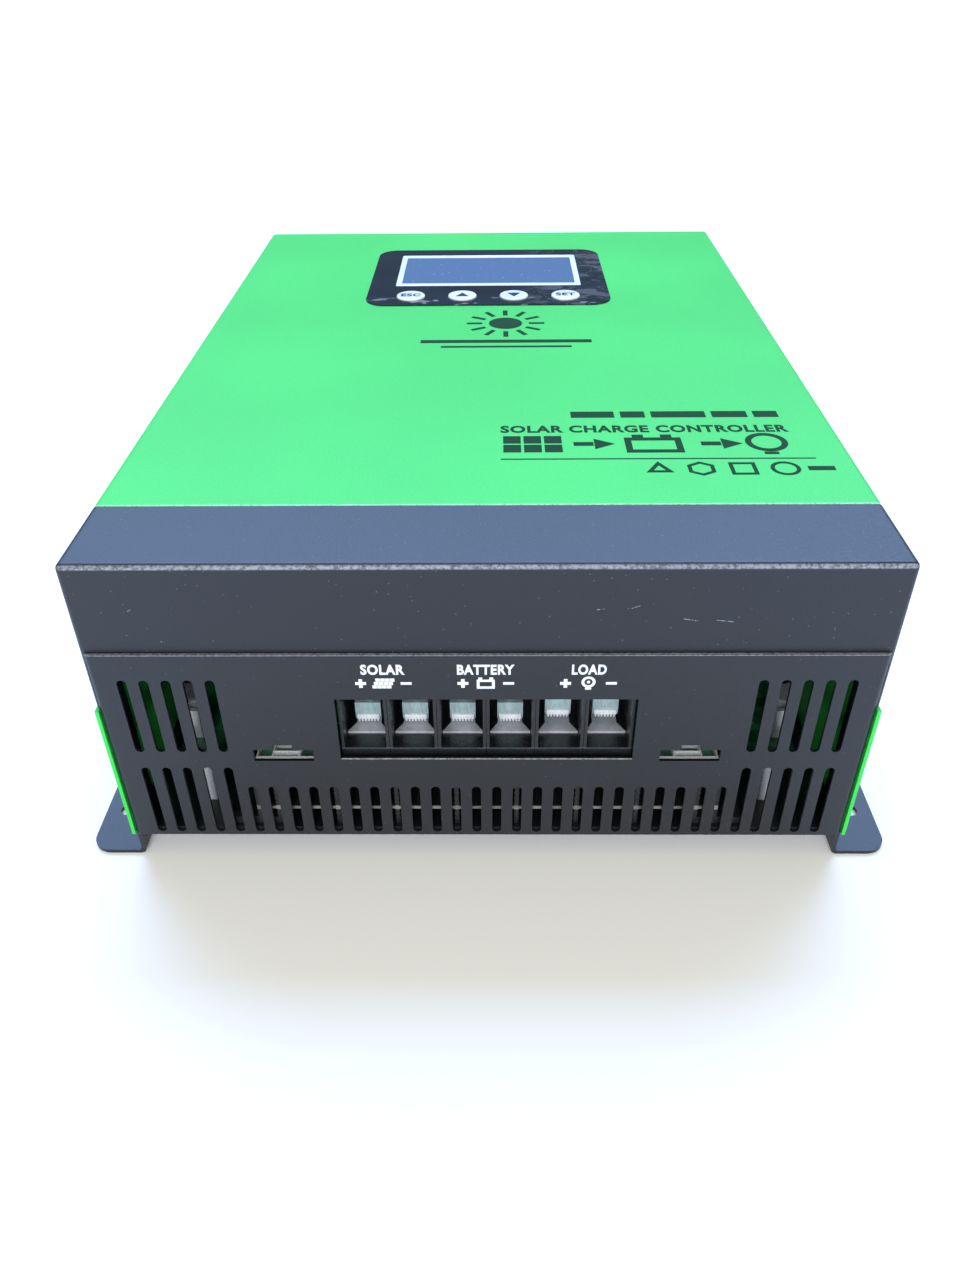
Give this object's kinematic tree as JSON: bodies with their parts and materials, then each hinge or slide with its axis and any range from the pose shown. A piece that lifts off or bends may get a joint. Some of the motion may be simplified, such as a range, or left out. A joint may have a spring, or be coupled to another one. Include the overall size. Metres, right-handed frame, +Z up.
{
  "type": "charge controller",
  "caption": "Flat box charge controller with a folded metal cover, vented wiring face with screw clamp ports, a display with keys, rear fans and wall mounting ears.",
  "frame": {"origin": "on the mounting plane, under the middle of the case", "axes": "+X to the right and +Z up when the wiring face, which looks along -Y, is towards the viewer"},
  "size_m": [0.285, 0.36, 0.1227],
  "materials": {
    "green_paint": "satin powder coat",
    "charcoal_paint": "fine textured powder coat",
    "zinc_steel": "bright zinc plate",
    "dark_screw": "black zinc plate",
    "aluminium": "extruded",
    "board_green": "solder mask",
    "black_resin": "moulded",
    "thermal_pad": "soft pad",
    "port_plastic": "moulded, satin",
    "tinned_copper": "tin plate, brushed",
    "zinc_clamp": "blue zinc plate",
    "zinc_screw": "zinc plate",
    "core": "pressed powder",
    "copper_wire": "enamelled",
    "can_sleeve": "shrink sleeve",
    "stud_steel": "turned",
    "lcd_case": "blue-grey glass in a dark case",
    "white_trim": "printed white",
    "clear_window": "polished",
    "overlay_gloss": "gloss film",
    "key_white": "gloss",
    "ribbon_grey": "flat ribbon",
    "fan_plastic": "moulded",
    "guard_chrome": "plated wire"
  },
  "bodies": {
    "case": {"top_cover": "green_paint", "base_plate": "charcoal_paint", "front_cap": "charcoal_paint", "front_panel": "charcoal_paint", "rear_panel": "charcoal_paint", "cover_brackets": "zinc_steel", "tie_brackets": "zinc_steel", "terminal_yokes": "zinc_steel", "board_posts": "zinc_steel", "standoffs": "zinc_steel", "cover_screws": "dark_screw", "cap_screws": "dark_screw", "panel_screws": "dark_screw", "heat_sink_screws": "dark_screw", "fan_screws": "dark_screw", "heat_sink": "aluminium", "main_board": "board_green", "display_board": "board_green", "power_transistors": "black_resin", "tact_switches": "black_resin", "cable_plugs": "black_resin", "thermal_pads": "thermal_pad", "terminal_housings": "port_plastic", "terminal_bars": "tinned_copper", "current_shunts": "tinned_copper", "inductor_cores": "core", "inductor_windings": "copper_wire", "capacitors": "can_sleeve", "display_studs": "stud_steel", "lcd_module": "lcd_case", "lcd_frame": "white_trim", "display_lens": "clear_window", "display_overlay": "overlay_gloss", "display_cable": "ribbon_grey", "fan_frame_left": "fan_plastic", "fan_frame_right": "fan_plastic", "fan_guards": "guard_chrome"},
    "key_esc": {"key_esc": "key_white"},
    "key_up": {"key_up": "key_white"},
    "key_down": {"key_down": "key_white"},
    "key_set": {"key_set": "key_white"},
    "fan_left": {"fan_rotor_left": "fan_plastic"},
    "fan_right": {"fan_rotor_right": "fan_plastic"},
    "clamp_1": {"terminal_clamp_1": "zinc_clamp"},
    "screw_1": {"terminal_screw_1": "zinc_screw"},
    "clamp_2": {"terminal_clamp_2": "zinc_clamp"},
    "screw_2": {"terminal_screw_2": "zinc_screw"},
    "clamp_3": {"terminal_clamp_3": "zinc_clamp"},
    "screw_3": {"terminal_screw_3": "zinc_screw"},
    "clamp_4": {"terminal_clamp_4": "zinc_clamp"},
    "screw_4": {"terminal_screw_4": "zinc_screw"},
    "clamp_5": {"terminal_clamp_5": "zinc_clamp"},
    "screw_5": {"terminal_screw_5": "zinc_screw"},
    "clamp_6": {"terminal_clamp_6": "zinc_clamp"},
    "screw_6": {"terminal_screw_6": "zinc_screw"}
  },
  "joints": [
    {"name": "press_esc", "type": "slide", "parent": "case", "child": "key_esc", "axis": [0, 0, -1], "range_m": [0, 0.0006], "stiffness_N_per_m": 1500},
    {"name": "press_up", "type": "slide", "parent": "case", "child": "key_up", "axis": [0, 0, -1], "range_m": [0, 0.0006], "stiffness_N_per_m": 1500},
    {"name": "press_down", "type": "slide", "parent": "case", "child": "key_down", "axis": [0, 0, -1], "range_m": [0, 0.0006], "stiffness_N_per_m": 1500},
    {"name": "press_set", "type": "slide", "parent": "case", "child": "key_set", "axis": [0, 0, -1], "range_m": [0, 0.0006], "stiffness_N_per_m": 1500},
    {"name": "fan_left_spin", "type": "hinge", "parent": "case", "child": "fan_left", "pos_m": [-0.058, 0.1603, 0.068], "axis": [0, 1, 0], "continuous": true},
    {"name": "fan_right_spin", "type": "hinge", "parent": "case", "child": "fan_right", "pos_m": [0.058, 0.1603, 0.068], "axis": [0, 1, 0], "continuous": true},
    {"name": "clamp_lift_1", "type": "slide", "parent": "case", "child": "clamp_1", "axis": [0, 0, 1], "range_m": [0, 0.01]},
    {"name": "screw_turn_1", "type": "hinge", "parent": "clamp_1", "child": "screw_1", "pos_m": [-0.03988, -0.1585, 0.0715], "axis": [0, 0, 1], "range_deg": [0, 3600]},
    {"name": "clamp_lift_2", "type": "slide", "parent": "case", "child": "clamp_2", "axis": [0, 0, 1], "range_m": [0, 0.01]},
    {"name": "screw_turn_2", "type": "hinge", "parent": "clamp_2", "child": "screw_2", "pos_m": [-0.02392, -0.1585, 0.0715], "axis": [0, 0, 1], "range_deg": [0, 3600]},
    {"name": "clamp_lift_3", "type": "slide", "parent": "case", "child": "clamp_3", "axis": [0, 0, 1], "range_m": [0, 0.01]},
    {"name": "screw_turn_3", "type": "hinge", "parent": "clamp_3", "child": "screw_3", "pos_m": [-0.00797, -0.1585, 0.0715], "axis": [0, 0, 1], "range_deg": [0, 3600]},
    {"name": "clamp_lift_4", "type": "slide", "parent": "case", "child": "clamp_4", "axis": [0, 0, 1], "range_m": [0, 0.01]},
    {"name": "screw_turn_4", "type": "hinge", "parent": "clamp_4", "child": "screw_4", "pos_m": [0.00797, -0.1585, 0.0715], "axis": [0, 0, 1], "range_deg": [0, 3600]},
    {"name": "clamp_lift_5", "type": "slide", "parent": "case", "child": "clamp_5", "axis": [0, 0, 1], "range_m": [-0.002, 0.008]},
    {"name": "screw_turn_5", "type": "hinge", "parent": "clamp_5", "child": "screw_5", "pos_m": [0.02392, -0.1585, 0.0715], "axis": [0, 0, 1], "range_deg": [-720, 2880]},
    {"name": "clamp_lift_6", "type": "slide", "parent": "case", "child": "clamp_6", "axis": [0, 0, 1], "range_m": [-0.002, 0.008]},
    {"name": "screw_turn_6", "type": "hinge", "parent": "clamp_6", "child": "screw_6", "pos_m": [0.03988, -0.1585, 0.0715], "axis": [0, 0, 1], "range_deg": [-720, 2880]}
  ],
  "couplings": [
    {"joint": "screw_turn_1", "follows": "clamp_lift_1", "rad_per_m": 6283.2},
    {"joint": "screw_turn_2", "follows": "clamp_lift_2", "rad_per_m": 6283.2},
    {"joint": "screw_turn_3", "follows": "clamp_lift_3", "rad_per_m": 6283.2},
    {"joint": "screw_turn_4", "follows": "clamp_lift_4", "rad_per_m": 6283.2},
    {"joint": "screw_turn_5", "follows": "clamp_lift_5", "rad_per_m": 6283.2},
    {"joint": "screw_turn_6", "follows": "clamp_lift_6", "rad_per_m": 6283.2}
  ]
}
